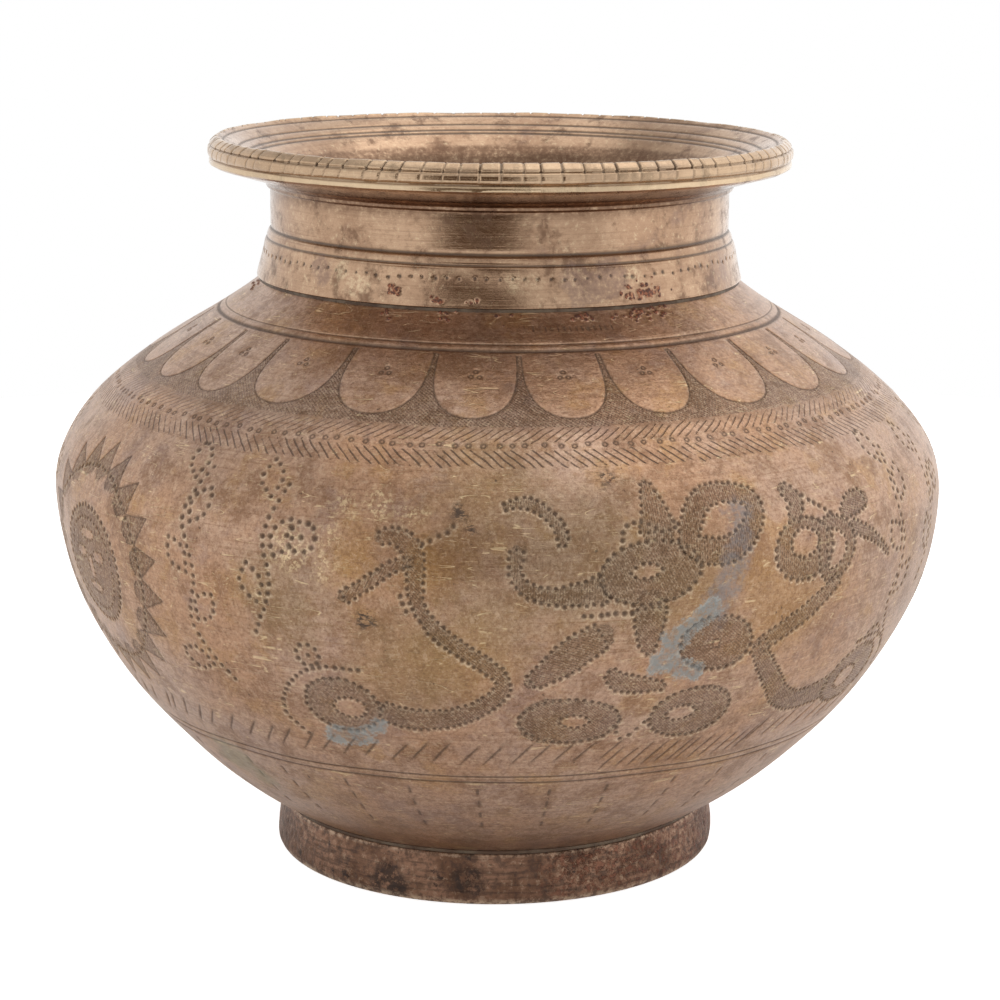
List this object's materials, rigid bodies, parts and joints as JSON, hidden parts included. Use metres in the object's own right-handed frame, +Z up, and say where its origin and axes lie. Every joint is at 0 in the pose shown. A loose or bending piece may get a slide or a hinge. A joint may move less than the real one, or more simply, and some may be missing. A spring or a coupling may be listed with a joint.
{
  "type": "lota water pot",
  "caption": "Squat round bronze water pot with a wide flanged rim, a short collared neck, a low foot ring and punched and hatched engraving, brazed up from turned pieces.",
  "frame": {"origin": "centre of the foot ring's lower face, on the surface that the pot stands on", "axes": "+Z up along the pot's axis of turning; -Y faces the side shown with the scroll engraving"},
  "size_m": [0.1502, 0.1502, 0.1223],
  "materials": {
    "body_bronze": "aged brown bronze, satin, worn brighter on high spots, dark in the engraving",
    "rim_bronze": "aged pale bronze, turned, satin with bright worn edges",
    "foot_bronze": "dull reddish brown bronze, pitted, bright worn lower edge",
    "solder": "old soft solder, grey green, rough, with red brown crusts",
    "spelter": "yellow brazing spelter, rough cast"
  },
  "bodies": {
    "root": {"foot_ring": "foot_bronze", "foot_braze": "solder", "lower_body": "body_bronze", "belly_braze": "spelter", "upper_body": "body_bronze", "neck_braze": "solder", "rim_neck": "rim_bronze"}
  },
  "joints": []
}
